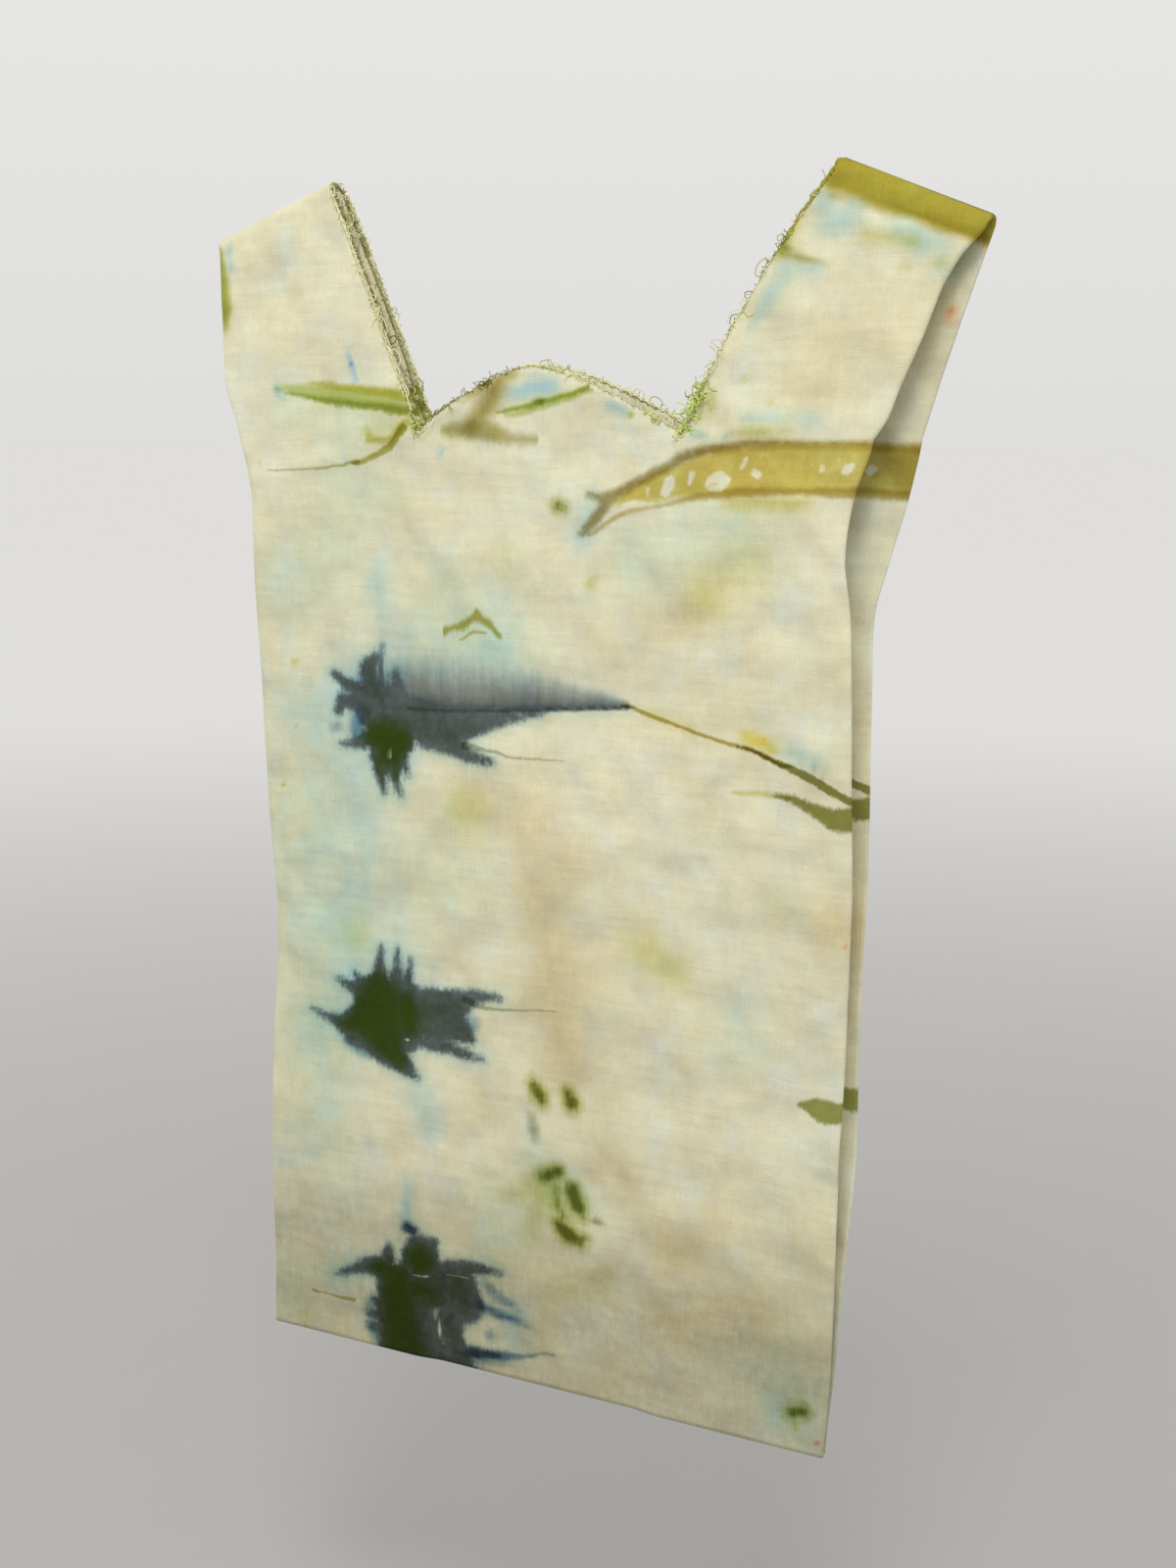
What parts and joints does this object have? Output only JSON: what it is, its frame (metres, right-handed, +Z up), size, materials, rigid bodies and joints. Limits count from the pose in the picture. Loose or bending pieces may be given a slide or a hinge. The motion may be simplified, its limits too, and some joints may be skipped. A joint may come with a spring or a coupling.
{
  "type": "cotton carrier bag",
  "caption": "Folded cotton carrier bag with tucked side gussets, a raw-cut curved mouth and wide straps, hanging by its straps; dyed with dark blots and bands on pale cloth.",
  "frame": {"origin": "midway between the undersides of the two straps where they rest on what holds them", "axes": "+X to the right seen from the front, +Y away from the viewer to the back panel, +Z up"},
  "size_m": [0.3716, 0.0248, 0.5529],
  "materials": {
    "cotton_front": "matt plain-weave cotton, hand-dyed",
    "cotton_back": "matt plain-weave cotton, hand-dyed",
    "sewing_thread": "matt cotton thread",
    "loose_yarn": "matt frayed cotton yarn"
  },
  "bodies": {
    "root": {"front_cloth": "cotton_front", "back_cloth": "cotton_back", "front_mouth_fray": "loose_yarn", "back_mouth_fray": "loose_yarn", "front_gusset_fray_left": "loose_yarn", "front_gusset_fray_right": "loose_yarn", "back_gusset_fray_left": "loose_yarn", "back_gusset_fray_right": "loose_yarn", "side_seam_left": "sewing_thread", "side_seam_right": "sewing_thread", "shoulder_seam_left": "sewing_thread", "shoulder_seam_right": "sewing_thread", "bottom_seam": "sewing_thread"}
  },
  "joints": []
}
